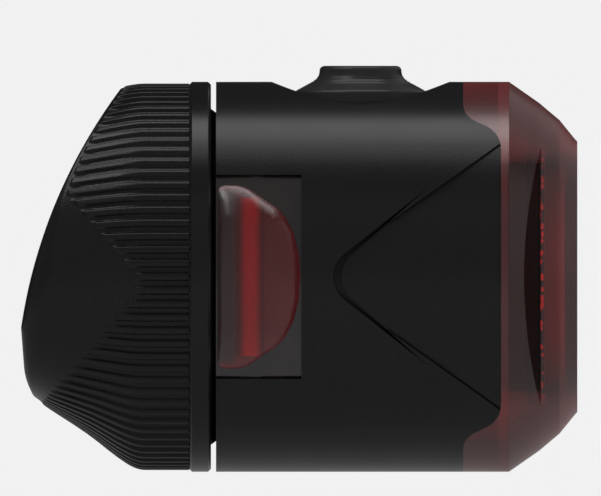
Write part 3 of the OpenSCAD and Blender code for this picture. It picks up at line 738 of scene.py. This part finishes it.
# Smooth radius along a line, by a cubic between its points
def gripRadius(base, stop):
    last = grip["backRing"] - 1
    low = min(last, int(stop))
    part = stop - low
    x0, r0 = base[low]
    x1, r1 = base[low + 1]
    x = x0 + (x1 - x0) * part
    if low == 0:
        return x, r0 + (r1 - r0) * part
    run = x1 - x0
    lean0 = 0 if low == grip["bendRing"] else (r1 - base[low - 1][1]) / (x1 - base[low - 1][0])
    lean1 = (r1 - r0) / run if low == last else (base[low + 2][1] - r0) / (base[low + 2][0] - x0)
    square, cube = part * part, part ** 3
    radius = r0 * (2 * cube - 3 * square + 1) + r1 * (3 * square - 2 * cube)
    return x, radius + run * (lean0 * (cube - 2 * square + part) + lean1 * (cube - square))


def gripLine(lines, place, across, sunk):
    base = gripBase(lines, place)
    offMiddle = min(abs(across), 2 - across) / grip["half"]
    panel = grip["panelDrop"] * grip["ribDepth"]
    points = []
    for stop in grip["stops"]:
        x, radius = gripRadius(base, stop)
        before = x - base[grip["hipRing"]][0]
        past = x - base[grip["bendRing"]][0]
        ending = grip["fade"] - before
        flat = max(ease(-past / grip["flatten"]), ease(ending / grip["fade"]))
        top = panel * ease((grip["crest"] - before) / grip["step"])
        top += grip["crown"] * min(1, offMiddle * offMiddle) * (1 - flat)
        deep = grip["sink"] + (panel - grip["sink"]) * ease(ending / (grip["fade"] + grip["fadePast"]))
        points.append((x, radius - top - (deep - top) * sunk))
    backX, backRadius = base[grip["backRing"]]
    endX, endRadius = base[grip["endRing"]]
    edge = backX - endX
    fall = grip["edgeFall"][0] + grip["edgeFall"][1] * edge - panel
    lean = endRadius + panel + fall - backRadius
    for turn in grip["edge"]:
        along = math.sin(math.radians(turn))
        dip = fall * (1 - math.cos(math.radians(turn)))
        points.append((backX - edge * along, backRadius + lean * along - panel - dip))
    angle = math.radians(grip["firstBand"] + place * bandAngle)
    return [(x * mm, r * math.cos(angle) * mm, r * math.sin(angle) * mm) for x, r in points]


def gripCap(mesh):
    lines = gripLines(mesh)
    rings = {(key, *point): ring for key, points in lines.items() for ring, point in enumerate(points)}
    build = bmesh.new()
    build.from_mesh(mesh)
    bmesh.ops.remove_doubles(build, verts=build.verts, dist=pieceSet["mergeWithin"])
    ringOf = {vert: rings.get(gripSpot(vert.co)) for vert in build.verts}
    skin = []
    for face in build.faces:
        known = [ringOf[vert] for vert in face.verts]
        if None not in known and min(known) < max(known):
            skin.append(face)
    for vert, ring in ringOf.items():
        if ring == 0:
            shrink = grip["faceRadius"] * mm / math.hypot(vert.co.y, vert.co.z)
            vert.co = (vert.co.x, vert.co.y * shrink, vert.co.z * shrink)
    bmesh.ops.delete(build, geom=skin, context="FACES")
    rows = []
    for pair in range(0, grip["bands"], 2):
        for across, sunk in gripAcross:
            rows.append([build.verts.new(point) for point in gripLine(lines, pair + across, across, sunk)])
    for row, after in zip(rows, rows[1:] + rows[:1]):
        for place in range(len(row) - 1):
            build.faces.new((row[place + 1], after[place + 1], after[place], row[place]))
    return build


addPiece("gripCap", gripCap(nodes["rear_cap"].data), capBlack, "mount", "rear_cap")

# Saddle pad: soft edges all round, taken from the solid's own shape
pad = dict(mergeWithin=1e-6, voxel=0.25, smooth=6, smoothShare=0.5)
build = bmesh.new()
build.from_mesh(nodes["saddle_pad"].data)
bmesh.ops.remove_doubles(build, verts=build.verts, dist=pad["mergeWithin"])
postPad = addPiece("postPad", build, padRubber, "mount", "saddle_pad")
remesh = postPad.modifiers.new("evenSkin", "REMESH")
remesh.mode = "VOXEL"
remesh.voxel_size = pad["voxel"] * mm
remesh.use_smooth_shade = True
soften = postPad.modifiers.new("softEdges", "SMOOTH")
soften.factor = pad["smoothShare"]
soften.iterations = pad["smooth"]

# Foam under the cell, squeezed so that its sides bulge
foam = dict(cuts=7, bulge=0.28, spare=0.1, round=0.25, roundAbove=0.8)
foamLow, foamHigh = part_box("battery_pad")
foamSize = foamHigh - foamLow
inset = (foam["bulge"] + foam["spare"]) * mm
build = bmesh.new()
bmesh.ops.create_cube(build, size=1)
bmesh.ops.subdivide_edges(build, edges=build.edges[:], cuts=foam["cuts"], use_grid_fill=True)
for vert in build.verts:
    waist = math.cos(vert.co.z * math.pi) * foam["bulge"] * mm
    vert.co = (
        vert.co.x * (foamSize.x - 2 * inset + 2 * waist),
        vert.co.y * (foamSize.y - 2 * inset + 2 * waist),
        vert.co.z * foamSize.z,
    )
corners = [edge for edge in build.edges if edge.calc_face_angle(0) > foam["roundAbove"]]
bmesh.ops.bevel(
    build, geom=corners, offset=foam["round"] * mm, offset_type="OFFSET", affect="EDGES",
    segments=3, profile=0.5, material=-1,
)
bmesh.ops.translate(build, verts=build.verts, vec=(foamLow + foamHigh) / 2)
weld(build)
foamPad = addPiece("foamPad", build, foamGrey, "light", "battery_pad")
print("pieces made")

# Pale floor under the light, seen in gloss as an even grey
floorSet = dict(
    size=4, drop=0.0003, shade=(0.79, 0.79, 0.79), colour=(0.80, 0.80, 0.80), gloss=0.30, through=0.70,
)
floorMesh = bpy.data.meshes.new("floor")
build = bmesh.new()
bmesh.ops.create_grid(build, x_segments=4, y_segments=4, size=floorSet["size"] / 2)
bmesh.ops.translate(build, verts=build.verts, vec=(0, 0, cadBox[0].z - floorSet["drop"]))
build.to_mesh(floorMesh)
build.free()
floor = bpy.data.objects.new("floor", floorMesh)
bpy.context.scene.collection.objects.link(floor)
floorPale = Finish("floorPale")
mottle = floorPale.noise(scale=3, detail=2)
floorPale.put(color=floorPale.tint(mottle, [(0.0, floorSet["shade"]), (1.0, floorSet["colour"])]))
floorPale.put(rough=0.7)
inGloss = floorPale.add("LightPath", out="Is Glossy Ray")
through = floorPale.add("LightPath", out="Is Transmission Ray")
floorPale.glow((inGloss + through) > 0.5, inGloss * floorSet["gloss"] + through * floorSet["through"])
floorMesh.materials.append(floorPale.material)

# Grey cards that only the gloss sees, as a dark tent round the light
cards = dict(
    front=dict(level=0.175, size=(2.4, 1.0), at=(0, -0.8, 0.48), turn=(90, 0, 0)),
    back=dict(level=0.02, size=(2.4, 1.0), at=(0, 0.8, 0.48), turn=(90, 0, 0)),
    lensSide=dict(level=0.34, size=(1.6, 1.0), at=(1.2, 0, 0.48), turn=(90, 0, 90)),
    capSide=dict(level=0.10, size=(1.6, 1.0), at=(-1.2, 0, 0.48), turn=(90, 0, 90)),
    roof=dict(level=0.02, size=(2.4, 1.6), at=(0, 0, 0.95), turn=(0, 0, 0)),
    lensBack=dict(level=0.30, size=(0.66, 0.62), at=(0.48, 0.46, 0.50), turn=(90, 0, -45)),
    capTop=dict(level=5.5, size=(0.22, 0.10), at=(-0.27, -0.22, 0.549), turn=(0, 0, 0)),
)
for name, given in cards.items():
    build = bmesh.new()
    bmesh.ops.create_grid(build, x_segments=1, y_segments=1, size=0.5)
    bmesh.ops.scale(build, verts=build.verts, vec=(*given["size"], 1))
    turn = Euler([math.radians(angle) for angle in given["turn"]]).to_matrix().to_4x4()
    bmesh.ops.transform(build, verts=build.verts, matrix=Matrix.Translation(given["at"]) @ turn)
    cardMesh = bpy.data.meshes.new(name + "Card")
    build.to_mesh(cardMesh)
    build.free()
    paint = Finish(name + "Card")
    paint.put(color=(0.01, 0.01, 0.01), rough=1.0, shine=0.0)
    paint.glow(1.0, given["level"])
    cardMesh.materials.append(paint.material)
    card = bpy.data.objects.new(name + "Card", cardMesh)
    bpy.context.scene.collection.objects.link(card)
    card.visible_camera = False
    card.visible_diffuse = False
    card.visible_transmission = False
    card.visible_shadow = False

# Overhead softbox a little behind the light, with a weaker panel in front of it
lamps = dict(
    softbox=dict(power=1.34, size=(0.82, 0.205), at=(-0.09, 0.0675, 0.55), aim=(-0.09, 0.0675, 0)),
    fade=dict(power=0.36, size=(0.82, 0.125), at=(-0.09, -0.0975, 0.55), aim=(-0.09, -0.0975, 0)),
)
for name, given in lamps.items():
    lampData = bpy.data.lights.new(name, "AREA")
    lampData.shape = "RECTANGLE"
    lampData.size = given["size"][0]
    lampData.size_y = given["size"][1]
    lampData.energy = given["power"]
    lamp = bpy.data.objects.new(name, lampData)
    lamp.location = given["at"]
    lamp.rotation_euler = (Vector(given["aim"]) - Vector(given["at"])).to_track_quat("-Z", "Y").to_euler()
    bpy.context.scene.collection.objects.link(lamp)

# World: soft grey light, with the pale backdrop for what the camera, gloss and clear parts see
backdrop = dict(pale=0.88, fill=0.74)
world = bpy.data.worlds.new("studio")
bpy.context.scene.world = world
world.use_nodes = True
tree = world.node_tree
rays = tree.nodes.new("ShaderNodeLightPath")
seen = Wire(tree, rays.outputs["Is Camera Ray"]) + Wire(tree, rays.outputs["Is Glossy Ray"])
seen = (seen + Wire(tree, rays.outputs["Is Transmission Ray"])) > 0.5
level = backdrop["fill"] + seen * (backdrop["pale"] - backdrop["fill"])
sky = tree.nodes["Background"]
sky.inputs["Color"].default_value = (1, 1, 1, 1)
joinTo(tree, sky.inputs["Strength"], level)
print("stage and light set")
